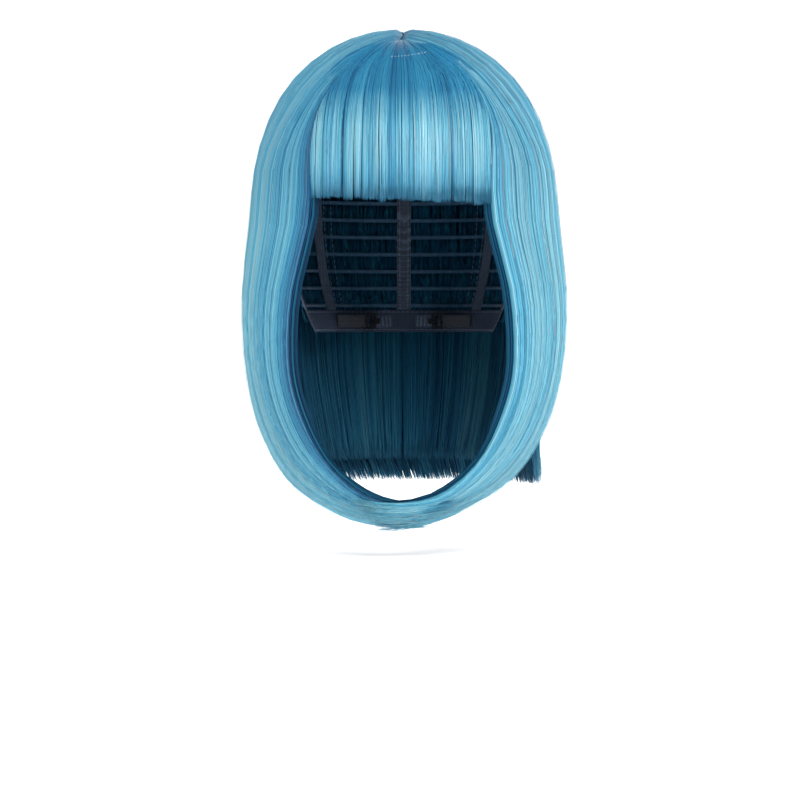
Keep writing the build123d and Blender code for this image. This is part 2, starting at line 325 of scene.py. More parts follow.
# A side sheet's rows from the temple down: its front edge, middle and rear edge, as shares of the left
# length's box.
SIDE_ROWS = [
    ((0.59, 0.03, 1.00), (0.862, 0.49, 1.00), (0.93, 1.00, 1.00)),
    ((0.60, 0.01, 0.87), (0.887, 0.48, 0.87), (0.96, 1.00, 0.87)),
    ((0.69, 0.07, 0.70), (0.935, 0.50, 0.70), (1.00, 1.00, 0.70)),
    ((0.73, 0.12, 0.52), (0.940, 0.50, 0.505), (0.99, 1.00, 0.49)),
    ((0.70, 0.13, 0.39), (0.850, 0.44, 0.34), (0.92, 1.00, 0.30)),
    ((0.60, 0.12, 0.27), (0.700, 0.33, 0.205), (0.75, 0.80, 0.14)),
    ((0.445, 0.09, 0.171), (0.505, 0.20, 0.112), (0.55, 0.46, 0.066)),
    ((0.25, 0.05, 0.102), (0.290, 0.13, 0.062), (0.33, 0.28, 0.020)),
    ((0.06, 0.02, 0.083), (0.080, 0.06, 0.044), (0.10, 0.15, 0.007)),
    ((-0.13, 0.015, 0.083), (-0.12, 0.04, 0.044), (-0.11, 0.10, 0.006)),
    ((-0.33, 0.05, 0.098), (-0.32, 0.07, 0.055), (-0.30, 0.12, 0.016)),
]
SIDE_THICKNESS = 8.5 * MM

# How far each side's lower rows are moved, in mm: outwards, back and up. The left's ends lie over the
# right's. The front edge moves only back or forward, and the rear edge moves in full.
SIDE_TUCKS = {
    1: [(-2, 0, 1), (-6, -0.5, 3), (-8, -1.0, 5), (-7, -1.5, 5), (-4, -2.0, 3), (0, -2.5, 1), (0, -2.5, 0)],
    -1: [(0, 0, 0.5), (-1, 0, 1.5), (-2, 0, 2.5), (-1, 0, 3.5), (0, 0, 3.0), (0, 0, 2.5), (0, 0, 4.0)],
}

# The parting's ends, and the middle control of a side's front edge, as directions from the crown's centre.
PARTING_FRONT = np.array([-0.022, -0.491, 0.871])
PARTING_REAR = np.array([0.0, 0.02, 1.0])
FRONT_PULL = np.array([0.636, -0.651, 0.705])
PARTING_ZIGZAG = 0.016
PARTING_TURNS = 4.5
PARTING_HALF_GAP = 0.002


def parting_root(along, sign):
    """Directions of roots beside the parting, from its front (0) to its rear (1), on one side of it."""
    spot = PARTING_FRONT + (PARTING_REAR - PARTING_FRONT) * along[:, None]
    zigzag = PARTING_ZIGZAG * (np.abs((along * PARTING_TURNS) % 2 - 1) - 0.5)
    spot[:, 0] += zigzag + sign * PARTING_HALF_GAP
    return unit(spot)


def side_sheet(rng, u, depth, sign, locks, strength):
    """Lines and outward directions of a side's strands. u runs from its front edge to its rear one, and sign
    is 1 on the left, -1 on the right."""
    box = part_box("side_hair_left")
    along = np.clip(u * 1.05 + rng.normal(0, 0.03, len(u)), 0, 1)
    hold = strength * (1 - rng.random(len(u)) ** 4)
    mirror = np.array([sign, 1.0, 1.0])
    root = parting_root(along, sign) * mirror
    rows = [[share_point(box, p) for p in row] for row in SIDE_ROWS]
    first, out = arc_row(*rows[0], gathered(u, locks, FIRST_GATHER * hold))
    foot = (first - CROWN_CENTRE) / CROWN_RADII
    pull = FRONT_PULL + (great_pull(root, unit(foot)) - FRONT_PULL) * np.clip(u, 0, 1)[:, None]
    points, normals = crown_rows(root, pull, foot, depth)
    for number, row in enumerate(rows):
        gather = hold * min(1.0, FIRST_GATHER + SIDE_GATHER * number)
        point, out = arc_row(*row, gathered(u, locks, gather))
        points.append(point - out * depth[:, None])
        normals.append(out)
    controls = np.stack(points, 1)
    tuck = np.array(SIDE_TUCKS[sign]) * MM
    rearward = np.clip(u, 0, 1)[:, None, None]
    controls[:, -len(tuck):] += tuck * (rearward + (1 - rearward) * np.array([0, 1, 0]))
    return smooth(controls * mirror, np.stack(normals, 1) * mirror)


# The back sheet's rows: right and left half-widths, depth and height, as shares of the back length's box. The
# right corner tucks in behind its side, and the left one flares out past its side in a small tuft.
BACK_ROWS = [
    (0.93, 0.93, 0.985, 1.00),
    (0.96, 0.96, 1.00, 0.857),
    (0.98, 0.98, 0.985, 0.658),
    (0.935, 0.960, 0.95, 0.454),
    (0.836, 0.890, 0.88, 0.25),
    (0.732, 0.862, 0.80, 0.097),
    (0.656, 0.900, 0.745, 0.0),
]
BACK_THICKNESS = 9.0 * MM


def back_sheet(rng, u, depth, locks, strength):
    """Lines and outward directions of strands at the back. u runs from the right seam to the left one."""
    low, high = back_low, back_high
    edge = np.abs(u - 0.5) * 2
    along = 1.05 - 0.12 * edge ** 2 + rng.normal(0, 0.02, len(u))
    root = parting_root(along, 0)
    root[:, 0] += (u - 0.5) * 0.03
    root[:, 1] += 0.12 * (1 - edge ** 2) * rng.uniform(0.4, 1.0, len(u))
    root = unit(root)
    rows = []
    for right, left, back, height in BACK_ROWS:
        y, z = low.y + back * (high.y - low.y), low.z + height * (high.z - low.z)
        rows.append([
            np.array([-right * high.x, low.y, z]), np.array([0, y, z]), np.array([left * high.x, low.y, z]),
        ])
    first, out = arc_row(*rows[0], gathered(u, locks, FIRST_GATHER * strength))
    foot = (first - CROWN_CENTRE) / CROWN_RADII
    pull = great_pull(root, unit(foot))
    points, normals = crown_rows(root, pull, foot, depth)
    for number, row in enumerate(rows):
        gather = strength * min(1.0, FIRST_GATHER + BACK_GATHER * number)
        point, out = arc_row(*row, gathered(u, locks, gather))
        points.append(point - out * depth[:, None])
        normals.append(out)
    return smooth(np.stack(points, 1), np.stack(normals, 1))


# The fringe fans out from the parting's front: it is nearly full width a third of the way down. Its cut edge
# is a little higher at the right end.
FRINGE_HEIGHTS = (0.0, 0.03, 0.09, 0.18, 0.32, 0.5, 0.7, 0.86, 1.0)
FRINGE_SPREAD = 0.14
FRINGE_THICKNESS = 6.0 * MM
FRINGE_ROOT_SINK = 3.0 * MM
FRINGE_SINK_SHARE = 0.03
FRINGE_REACH = 1.03
FRINGE_ROOT_SPREAD = 8.0 * MM
FRINGE_TILT = 3.2 * MM
FRINGE_STEPS = 0.8 * MM


def fringe_sheet(rng, u, depth, locks, strength):
    """Lines and outward directions of the fringe's strands. u runs from -1, its right end, to 1."""
    low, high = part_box("fringe_hair")
    top = PARTING_FRONT[2] * CROWN_RADII[2]
    root_x = PARTING_FRONT[0] * CROWN_RADII[0]
    start = rng.uniform(-0.02, 0.03, len(u))
    hold = strength * (1 - rng.random(len(u)) ** 4)
    foot = low.z + FRINGE_TILT * (1 - u) / 2 + lock_offsets(rng, u, locks, FRINGE_STEPS)
    points, normals = [], []
    for share in FRINGE_HEIGHTS:
        z = top + (foot - top) * (share + start * (1 - share))
        reach = 1 - math.exp(-share / FRINGE_SPREAD)
        across = gathered(u, locks, hold * (0.3 + 0.7 * share))
        half_width = FRINGE_ROOT_SPREAD * (1 - reach) + FRINGE_REACH * high.x * reach
        x = root_x * (1 - reach) + across * half_width
        sink = depth * (0.5 + 0.5 * share) + FRINGE_ROOT_SINK * math.exp(-share / FRINGE_SINK_SHARE)
        radii = CROWN_RADII - sink[:, None]
        lift = np.clip(z / radii[:, 2], 0, 1)
        y = CROWN_CENTRE[1] - radii[:, 1] * np.sqrt(np.clip(1 - (x / radii[:, 0]) ** 2 - lift ** 2, 0, 1))
        point = np.stack([x, y, z], 1)
        points.append(point)
        normals.append(unit((point - CROWN_CENTRE) * [1, 1, 0.9] / CROWN_RADII ** 2))
    return smooth(np.stack(points, 1), np.stack(normals, 1))


def wave(rng, lines, outward, amount):
    """Adds each strand's own slow wander across the sheet and in depth, growing along its length."""
    count, points, _ = lines.shape
    along = np.linspace(0, 1, points)[None, :]
    across = unit(np.cross(np.gradient(lines, axis=1), outward))
    for direction, size in ((across, amount), (outward, 0.2 * amount)):
        phase = rng.uniform(0, 2 * math.pi, (count, 1))
        turns = rng.uniform(0.4, 1.2, (count, 1))
        reach = rng.normal(0, size, (count, 1)) * (0.15 + 0.85 * along)
        lines = lines + direction * (reach * np.sin(2 * math.pi * turns * along + phase))[..., None]
    return lines


# The shares of strands that are brown-grey, paler or deeper than their lock, and a strand's own spread of tone.
ODD_SHARE = 0.005
PALE_SHARE = 0.07
DEEP_SHARE = 0.11
ODD_TONE = 0.98
OWN_SPREAD = 0.085
LEAST_TONE = 0.02


def tone_of(rng, u, base, clumps, spread):
    """Each strand's tone: the sheet's own, its lock's and its own chance. A few strands are brown-grey."""
    lock = rng.normal(0, spread, clumps)
    place = np.clip((u - u.min()) / (np.ptp(u) + 1e-9) * (clumps - 1), 0, clumps - 1.001)
    cell = place.astype(int)
    blend = place - cell
    tone = base + lock[cell] * (1 - blend) + lock[cell + 1] * blend + rng.normal(0, OWN_SPREAD, len(u))
    odd = rng.random(len(u))
    tone = np.where(odd < PALE_SHARE, tone + 0.2, tone)
    tone = np.where(odd > 1 - DEEP_SHARE, tone - 0.24, tone)
    return np.where(odd < ODD_SHARE, ODD_TONE, np.clip(tone, LEAST_TONE, 0.92))


# ---- materials

def node_material(name):
    material = bpy.data.materials.new(name)
    material.use_nodes = True
    nodes, links = material.node_tree.nodes, material.node_tree.links
    return material, nodes, links, nodes["Principled BSDF"]


def srgb(red, green, blue):
    """A linear colour from 0-255 screen values."""
    def linear(value):
        value /= 255
        return value / 12.92 if value <= 0.04045 else ((value + 0.055) / 1.055) ** 2.4
    return linear(red), linear(green), linear(blue), 1.0


def noise(nodes, links, vector, scale, detail=2.0):
    node = nodes.new("ShaderNodeTexNoise")
    node.inputs["Scale"].default_value = scale
    node.inputs["Detail"].default_value = detail
    links.new(vector, node.inputs["Vector"])
    return node.outputs[0]


def grey(value):
    return value, value, value, 1


def ramp(nodes, stops):
    """A colour ramp with (place, colour) stops."""
    node = nodes.new("ShaderNodeValToRGB")
    elements = node.color_ramp.elements
    while len(elements) < len(stops):
        elements.new(0.5)
    for element, (place, colour) in zip(elements, stops):
        element.position = place
        element.color = colour
    return node


def mix_colour(nodes, links, kind, factor, first, second):
    node = nodes.new("ShaderNodeMix")
    node.data_type = "RGBA"
    node.blend_type = kind
    for socket, value in ((node.inputs[0], factor), (node.inputs[6], first), (node.inputs[7], second)):
        if isinstance(value, bpy.types.NodeSocket):
            links.new(value, socket)
        else:
            socket.default_value = value
    return node.outputs[2]


# Hair colours from the deepest strand to the palest, and last the brown-grey of the odd strand.
HAIR_TONES = [
    (0.0, srgb(0, 56, 92)),
    (0.2, srgb(10, 98, 142)),
    (0.4, srgb(50, 138, 174)),
    (0.6, srgb(88, 168, 193)),
    (0.8, srgb(134, 192, 206)),
    (0.93, srgb(170, 202, 208)),
    (1.0, srgb(138, 128, 120)),
]
# The same strands near the root, where the fibre is deeper and bluer. The same deep colour also stands for
# painted shade: under the side hair at the fringe's roots, at the fringe's tips and over the whole under layer.
ROOT_AND_SHADE_TONES = [
    (0.0, srgb(0, 30, 56)),
    (0.3, srgb(0, 76, 118)),
    (0.6, srgb(0, 108, 152)),
    (1.0, srgb(26, 142, 178)),
]


def shaded(tones, shade):
    return [(place, tuple(channel * shade for channel in colour[:3]) + (1,)) for place, colour in tones]


def hair_material(name, shade, depth, roughness, gloss=0.45):
    """Fibre: a tone across the ramps, and fine streaks along each strand. shade darkens both ramps, and below 1
    it is painted shade. depth and roughness are stops along the length: how much of the deeper root colour a
    place has, which is partly painted shade, and how rough it is."""
    material, nodes, links, shader = node_material(name)
    uv = nodes.new("ShaderNodeUVMap")
    uv.uv_map = BAKE_LAYER
    parts = nodes.new("ShaderNodeSeparateXYZ")
    links.new(uv.outputs[0], parts.inputs[0])
    tones = ramp(nodes, shaded(HAIR_TONES, shade))
    deep = ramp(nodes, shaded(ROOT_AND_SHADE_TONES, shade))
    links.new(parts.outputs["X"], tones.inputs[0])
    links.new(parts.outputs["X"], deep.inputs[0])
    # How much deep colour each place along the strand takes: partly deeper fibre at the root, partly painted
    # shade.
    root = ramp(nodes, [(place, grey(value)) for place, value in depth])
    links.new(parts.outputs["Y"], root.inputs[0])
    colour = mix_colour(nodes, links, "MIX", root.outputs[0], tones.outputs[0], deep.outputs[0])
    stretch = nodes.new("ShaderNodeMapping")
    stretch.inputs["Scale"].default_value = (90, 6, 1)
    links.new(uv.outputs[0], stretch.inputs["Vector"])
    streak = ramp(nodes, [(0.3, (0.78, 0.82, 0.86, 1)), (0.7, (1.16, 1.13, 1.1, 1))])
    links.new(noise(nodes, links, stretch.outputs[0], 1.0, 3.0), streak.inputs[0])
    colour = mix_colour(nodes, links, "MULTIPLY", 1.0, colour, streak.outputs[0])
    links.new(colour, shader.inputs["Base Color"])
    rough = ramp(nodes, [(place, grey(value)) for place, value in roughness])
    links.new(parts.outputs["Y"], rough.inputs[0])
    links.new(rough.outputs[0], shader.inputs["Roughness"])
    shader.inputs["Specular IOR Level"].default_value = gloss
    return material


def add_bump(nodes, links, shader, height, strength, distance):
    bump = nodes.new("ShaderNodeBump")
    bump.inputs["Strength"].default_value = strength
    bump.inputs["Distance"].default_value = distance
    links.new(height, bump.inputs["Height"])
    links.new(bump.outputs[0], shader.inputs["Normal"])


def object_place(nodes, links, scale):
    """The piece's own coordinates, and a mapping of them in cells of 1 / scale metres."""
    place = nodes.new("ShaderNodeTexCoord")
    mapping = nodes.new("ShaderNodeMapping")
    mapping.inputs["Scale"].default_value = (scale,) * 3
    links.new(place.outputs["Object"], mapping.inputs["Vector"])
    return place.outputs["Object"], mapping


def cloth_material(name, gap_shade, light, cell, kind, roughness, depth, tint=None):
    """A procedural textile. kind is net (open cells), weave (crossed threads) or rib (cords in rows). The low
    parts between threads take a darker colour, painted shade in the gaps, and the raised threads take the light
    colour.
    """
    material, nodes, links, shader = node_material(name)
    source, mapping = object_place(nodes, links, 1 / cell)
    if kind == "net":
        pattern = nodes.new("ShaderNodeTexVoronoi")
        pattern.feature = "DISTANCE_TO_EDGE"
        pattern.inputs["Scale"].default_value = 1.0
        pattern.inputs["Randomness"].default_value = 0.25
        links.new(mapping.outputs[0], pattern.inputs["Vector"])
        threads = ramp(nodes, [(0.06, grey(1)), (0.22, grey(0))])
        links.new(pattern.outputs["Distance"], threads.inputs[0])
        height = threads.outputs[0]
    else:
        waves = []
        for direction in ("Z", "DIAGONAL") if kind == "weave" else ("Z",):
            wave_node = nodes.new("ShaderNodeTexWave")
            wave_node.bands_direction = direction
            wave_node.inputs["Scale"].default_value = 0.3
            wave_node.inputs["Distortion"].default_value = 0.6
            wave_node.inputs["Detail"].default_value = 1.0
            links.new(mapping.outputs[0], wave_node.inputs["Vector"])
            waves.append(wave_node.outputs["Color"])
        height = waves[0]
        if kind == "weave":
            height = mix_colour(nodes, links, "LIGHTEN", 0.8, waves[0], waves[1])
    fuzz = noise(nodes, links, source, 420.0, 4.0)
    worn = ramp(nodes, [(0.3, (0.75, 0.75, 0.78, 1)), (0.72, (1.2, 1.18, 1.15, 1))])
    links.new(fuzz, worn.inputs[0])
    # Painted shade: the gaps and hollows between threads are darker than the raised threads.
    colour = mix_colour(nodes, links, "MIX", height, gap_shade, light)
    colour = mix_colour(nodes, links, "MULTIPLY", 1.0, colour, worn.outputs[0])
    if tint:
        patch = ramp(nodes, [(0.4, grey(0)), (0.7, grey(1))])
        links.new(noise(nodes, links, source, 45.0), patch.inputs[0])
        colour = mix_colour(nodes, links, "MIX", patch.outputs[0], colour, tint)
    links.new(colour, shader.inputs["Base Color"])
    rough = ramp(nodes, [(0.2, grey(roughness - 0.12)), (0.8, grey(roughness + 0.08))])
    links.new(fuzz, rough.inputs[0])
    links.new(rough.outputs[0], shader.inputs["Roughness"])
    add_bump(nodes, links, shader, height, 0.7, depth)
    return material


def moulded_material(name, colour):
    """Moulded plastic with a faint grain and rubbed patches."""
    material, nodes, links, shader = node_material(name)
    _, mapping = object_place(nodes, links, 900.0)
    grain = noise(nodes, links, mapping.outputs[0], 1.0, 5.0)
    rubbed = ramp(nodes, [(0.35, grey(0.7)), (0.75, grey(1.5))])
    links.new(grain, rubbed.inputs[0])
    worn = mix_colour(nodes, links, "MULTIPLY", 1.0, colour, rubbed.outputs[0])
    links.new(worn, shader.inputs["Base Color"])
    rough = ramp(nodes, [(0.3, grey(0.22)), (0.8, grey(0.42))])
    links.new(grain, rough.inputs[0])
    links.new(rough.outputs[0], shader.inputs["Roughness"])
    add_bump(nodes, links, shader, grain, 0.3, 0.03 * MM)
    return material


# The textiles: name, the painted shade in the gaps between threads and the threads' light colour, cell in mm,
# kind, roughness, depth in mm and a tint, if any.
CLOTHS = {
    "cap_net": ("net", (14, 20, 30), (62, 76, 98), 1.3, "net", 0.7, 0.15),
    "cap_cloth": ("cloth", (24, 32, 46), (72, 88, 112), 0.75, "weave", 0.8, 0.12, (46, 62, 86)),
    "lace_tape": ("lace", (18, 26, 38), (96, 116, 142), 0.9, "net", 0.65, 0.2),
    "weft_track": ("weft", (8, 40, 66), (40, 118, 164), 0.45, "rib", 0.6, 0.2),
    "parting_skin": (
        "skin_mesh", (196, 146, 116), (226, 184, 154), 0.6, "net", 0.62, 0.08, (212, 160, 130),
    ),
    "elastic": ("elastic", (12, 14, 20), (56, 62, 74), 0.8, "rib", 0.72, 0.2),
    "thread": ("thread", (84, 102, 128), (150, 168, 190), 0.5, "rib", 0.6, 0.05),
    "pale_thread": ("pale_thread", (170, 190, 200), (226, 236, 240), 0.5, "rib", 0.5, 0.05),
}


def make_materials():
    materials = {
        # The sides and back take some of the deep colour near their roots over the crown: partly deeper fibre,
        # partly painted shade.
        "side": hair_material(
            "hair_side", 1.0, [(0.0, 0.8), (0.12, 0.45), (0.35, 0.35), (0.5, 0.0)], [(0.1, 0.5), (0.4, 0.36)],
        ),
        # The fringe's roots take the deep colour partly as painted shade under the side hair, and its tips
        # darken again with it as painted shade.
        "fringe": hair_material(
            "hair_fringe", 1.0,
            [(0.0, 0.8), (0.2, 1.0), (0.54, 0.9), (0.7, 0.0), (0.86, 0.15), (1.0, 0.75)],
            [(0.5, 0.6), (0.68, 0.33), (1.0, 0.42)],
        ),
        # As on the sides, the deep colour near the root is partly painted shade.
        "back": hair_material(
            "hair_back", 0.95, [(0.0, 0.8), (0.12, 0.45), (0.35, 0.3), (0.5, 0.0)], [(0.1, 0.5), (0.4, 0.36)],
        ),
        # The under layer: the same fibre at 0.45 of its brightness and in the full deep colour, painted shade
        # where the inner hair lies in shadow.
        "under": hair_material(
            "hair_under_painted_shade", 0.45, [(0.0, 1.0), (1.0, 0.8)], [(0.0, 0.7), (1.0, 0.55)], 0.15,
        ),
        "moulded_hook": moulded_material("hook_plastic", srgb(26, 28, 34)),
    }
    for key, (name, gap_shade, light, cell, kind, roughness, depth, *tint) in CLOTHS.items():
        materials[key] = cloth_material(
            name, srgb(*gap_shade), srgb(*light), cell * MM, kind, roughness, depth * MM, *[srgb(*t) for t in tint],
        )
    return materials


def dress_cap(materials):
    """Gives each cap node that stays in view the material of its slot."""
    slot_of = {name: slot for slot, names in CAP_SLOTS.items() for name in names}
    for obj in bpy.context.scene.objects:
        kind = slot_of.get(obj.name.rstrip("0123456789"))
        if kind:
            for place in obj.material_slots:
                place.material = materials[kind]


CAP_SLOTS = {
    "cap_net": ["crown_net"],
    "cap_cloth": ["front_band", "nape_band", "ear_tab_left", "ear_tab_right"],
    "lace_tape": [
        "rib_tape_centre", "rib_tape_left", "rib_tape_right", "ear_tape_left", "ear_tape_right",
        "loop_tape_left", "loop_tape_right",
    ],
    "weft_track": ["back_weft_track_", "crown_weft_track_", "front_weft_track_"],
    "parting_skin": ["parting_skin"],
    "moulded_hook": ["strap_hook_left", "strap_hook_right"],
}


# ---- hair pieces

# How far the painted shade along a sheet's first edge reaches, and over which part of the sheet its tone rises.
EDGE_SHADE_SHARE = 0.065
RISE_SHARE = 0.4
RISE_DELAY = 0.5
RISE_MIDDLE = 0.45

# Points along each strand, and the locks that give each sheet its bands of tone.
SIDE_POINTS, BACK_POINTS, FRINGE_POINTS, NAPE_POINTS, TRACK_POINTS = 31, 28, 22, 14, 6
SIDE_LOCKS, BACK_LOCKS, FRINGE_LOCKS, NAPE_LOCKS, SWEEP_LOCKS = 30, 52, 34, 40, 16


def strand_piece(rng, name, sheet, count, points, width, tone, end, material, wander=0.5 * MM):
    """Strands scattered over a sheet. sheet is (function of u and depth, range of u, range of depth), and tone
    is (base, locks, spread between locks, painted shade along the first edge, rise across the sheet)."""
    make, (u_low, u_high), (shallow, deep) = sheet
    u = rng.uniform(u_low, u_high, count)
    depth = shallow + (deep - shallow) * rng.random(count) ** 1.3
    lines, outward = make(u, depth)
    shares = bend_shares(lines, points)
    lines = wave(rng, lines, outward, wander)
    stop = end(u, rng)
    places = end_places(shares, stop)
    lines, outward = trim(lines, places), unit(trim(outward, places))
    widths = width_profile(places / stop[:, None]) * (width * rng.uniform(0.7, 1.3, count))[:, None]
    base, locks, spread, edge, rise = tone
    across = np.clip((u - u_low) / (u_high - u_low) / RISE_SHARE - RISE_DELAY, 0, 1)
    tones = tone_of(rng, u, base, locks, spread) + rise * (across - RISE_MIDDLE)
    # Painted shade: strands at the sheet's first edge, which turn in towards the face, are darkened.
    tones = tones - edge * np.exp(-((u - u_low) / EDGE_SHADE_SHARE) ** 2)
    return tube_mesh(name, lines, outward, widths, np.maximum(tones, LEAST_TONE), places, material)


def side_end(u, rng):
    """The front strands of a side reach past the chin, and the rear ones stop sooner."""
    share = np.clip(u, 0, 1)
    return 1.0 - 0.03 * share - rng.random(len(u)) * (0.12 + 0.07 * share)


def back_end(u, rng):
    """The back is cut level, a little shorter at its left edge."""
    return 1 - np.abs(rng.normal(0, 0.015, len(u))) - 0.03 * np.clip((u - 0.93) / 0.07, 0, 1)


def blunt_end(spread):
    """A straight cut whose strands differ by a small share of their length."""
    return lambda u, rng: 1 - np.abs(rng.normal(0, spread, len(u)))


# The sides: sign, tone, its rise from front to rear, how much painted shade darkens the front edge, and how far
# back it is.
SIDES = (
    ("left", 1, 0.57, 0.04, 0.25, -0.045),
    ("right", -1, 0.55, 0.2, 1.7, 0.005),
)

# A side's layers: strands, width in mm, shift of tone, lower for deeper layers as painted shade, first share,
# depths as shares of the thickness, painted shade along the front edge, material, slot and wander in mm.
SIDE_LAYERS = (
    ("outer_1", 1070, 0.56, 0.02, -0.03, 0.0, 0.18, 0.20, "side", "hair", 0.3),
    ("outer_2", 1070, 0.60, 0.00, -0.03, 0.02, 0.25, 0.28, "side", "hair", 0.3),
    ("outer_3", 1070, 0.75, -0.06, -0.03, 0.15, 0.55, 0.34, "side", "hair", 0.4),
    ("under", 900, 1.4, 0.0, -0.04, 0.5, 1.0, 0.1, "under", "inner_hair", 0.5),
    ("flyaways", 40, 0.2, 0.10, 0.0, -0.12, 0.0, 0.0, "side", "hair", 2.2),
)


def make_sides(materials):
    for word, sign, tone, rise, shadow, reach in SIDES:
        rng = np.random.default_rng(11 + sign)
        locks = make_locks(rng, -0.05, 1.05, 40)

        def sheet(u, depth):
            return side_sheet(rng, u, depth, sign, locks, 0.5)

        for name, count, width, shift, first, shallow, deep, edge, kind, slot, wander in SIDE_LAYERS:
            piece = strand_piece(
                rng, f"side_{word}_{name}",
                (sheet, (first + reach, 1.02), (shallow * SIDE_THICKNESS, deep * SIDE_THICKNESS)),
                count, SIDE_POINTS, width * MM, (tone + shift, SIDE_LOCKS, 0.09, edge * shadow, rise),
                side_end, materials[kind], wander * MM,
            )
            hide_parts(f"side_hair_{word}", f"crown_hair_{word}")
            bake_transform(piece)


# The back's layers: strands, width in mm, tone, which is lower for deeper layers as painted shade, depths as
# shares of the thickness, material and slot.
BACK_LAYERS = (
    ("outer_1", 1180, 0.75, 0.56, 0.0, 0.15, "back", "hair"),
    ("outer_2", 1180, 0.80, 0.54, 0.0, 0.20, "back", "hair"),
    ("outer_3", 1180, 0.90, 0.50, 0.05, 0.35, "back", "hair"),
    ("outer_4", 1180, 1.20, 0.44, 0.2, 0.60, "back", "hair"),
    ("under", 1000, 2.0, 0.42, 0.5, 1.0, "under", "inner_hair"),
)


def make_back(materials):
    rng = np.random.default_rng(31)
    locks = make_locks(rng, 0, 1, 80)

    def sheet(u, depth):
        return back_sheet(rng, u, depth, locks, 0.5)

    for name, count, width, tone, shallow, deep, kind, slot in BACK_LAYERS:
        piece = strand_piece(
            rng, f"back_{name}",
            (sheet, (-0.005, 1.005), (shallow * BACK_THICKNESS, deep * BACK_THICKNESS)),
            count, BACK_POINTS, width * MM, (tone, BACK_LOCKS, 0.08, 0.0, 0.0),
            back_end, materials[kind],
        )
        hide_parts("back_hair")
        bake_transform(piece)


def make_fringe(materials):
    rng = np.random.default_rng(53)
    locks = make_locks(rng, -1.06, 1.06, 27)

    def sheet(u, depth):
        return fringe_sheet(rng, u, depth, locks, 0.55)

    def loose_sheet(u, depth):
        return fringe_sheet(rng, u, depth, locks, 0.1)

    # The fringe's layers: the deepest is much darker in tone, painted shade under and between the locks.
    for name, count, width, tone, shallow, deep, make in (
        ("layer_1", 1480, 0.44, 0.60, 0.0, 0.15, sheet),
        ("layer_2", 1480, 0.50, 0.52, 0.1, 0.40, sheet),
        ("layer_3", 1400, 0.90, 0.22, 0.5, 1.0, loose_sheet),
    ):
        piece = strand_piece(
            rng, f"fringe_{name}",
            (make, (-1.06, 1.06), (shallow * FRINGE_THICKNESS, deep * FRINGE_THICKNESS)),
            count, FRINGE_POINTS, width * MM, (tone, FRINGE_LOCKS, 0.09, 0.0, 0.0),
            blunt_end(0.010), materials["fringe"], 0.35 * MM,
        )
        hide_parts("fringe_hair")
        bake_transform(piece)


# The nape layer's roots fall away behind its hinge, so that they clear the tracks above as it swings. Its rows
# are half-width, depth and height, as shares of its box.
NAPE_HINGE_Y = 50 * MM
NAPE_ROOM = 0.25
NAPE_ROWS = [(1.0, 1.0, 1.0), (0.985, 0.97, 0.66), (0.93, 0.87, 0.31), (0.83, 0.75, 0.0)]


def make_nape(materials):
    """The under layer at the nape, sewn to the lowest tracks."""
    rng = np.random.default_rng(71)
    low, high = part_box("nape_hair")
    locks = make_locks(rng, 0, 1, 46)
    rows = []
    for width, back, height in NAPE_ROWS:
        x, y, z = width * high.x, low.y + back * (high.y - low.y), low.z + height * (high.z - low.z)
        rows.append([np.array([-x, low.y, z]), np.array([0, y, z]), np.array([x, low.y, z])])

    def sheet(u, depth):
        made = [arc_row(*row, gathered(u, locks, 0.18 * number)) for number, row in enumerate(rows)]
        points = [point - out * depth[:, None] for point, out in made]
        points[0][:, 2] -= NAPE_ROOM * np.clip(points[0][:, 1] - NAPE_HINGE_Y, 0, None)
        return smooth(np.stack(points, 1), np.stack([out for _, out in made], 1))

    for name, count, width, tone, shallow, deep in (
        ("strands", 1900, 0.8, 0.6, 4, 8),
        ("outer", 1100, 1.5, 0.5, 0, 5),
    ):
        piece = strand_piece(
            rng, f"nape_{name}", (sheet, (0, 1), (shallow * MM, deep * MM)), count, NAPE_POINTS, width * MM,
            (tone, NAPE_LOCKS, 0.14, 0.0, 0.0), blunt_end(0.05), materials["under"],
        )
        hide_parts("nape_hair")
        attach(piece, "nape_layer")


def make_sweep(materials):
    """Strands of the left side that lie uppermost under the chin, paler than the rest: their pale tone is
    painted sheen.
    """
    rng = np.random.default_rng(97)
    locks = make_locks(rng, -0.05, 1.05, 24)

    def sheet(u, depth):
        return side_sheet(rng, u, depth, 1, locks, 0.4)

    def sweep_end(u, rng):
        return 1 - rng.random(len(u)) * 0.035

    # Tone 0.70, above the side's own: painted sheen on the uppermost strands.
    piece = strand_piece(
        rng, "side_left_sweep", (sheet, (0.0, 0.62), (-0.5 * MM, 0.6 * MM)), 170, SIDE_POINTS, 0.42 * MM,
        (0.70, SWEEP_LOCKS, 0.05, 0.0, 0.0), sweep_end, materials["side"],
    )
    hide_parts("side_hair_left", "crown_hair_left")
    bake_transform(piece)


# ---- inside the cap

def head_point(turn, z, out):
    """Points on the head form grown by out, at a turn from straight back and a height, and the directions out
    from them."""
    turn, z = np.broadcast_arrays(turn, z)
    radii = np.stack([
        np.full(z.shape, HEAD_RADII[0] + out), np.full(z.shape, HEAD_RADII[1] + out),
        np.where(z < 0, HEAD_DROP, HEAD_RADII[2]) + out,
    ], -1)
    ring = np.sqrt(np.clip(1 - (z / radii[..., 2]) ** 2, 0, 1))
    point = np.stack([radii[..., 0] * ring * np.sin(turn), radii[..., 1] * ring * np.cos(turn), z], -1)
    return point, unit(point / radii ** 2)


THREAD_RIDGE = 0.58

# A stitch's four points: its ends dip into the cloth, and its middle stands proud of it on the head's side.
STITCH_LIFT = np.array([0.05, -0.22, -0.22, 0.05]) * MM
STITCH_WIDTH = 0.4 * MM
STITCH_PITCH = 3.4 * MM
STITCH_LENGTH = 2.3 * MM
RIB_TURN = math.radians(42)
RIB_SEAM = 3.6 * MM


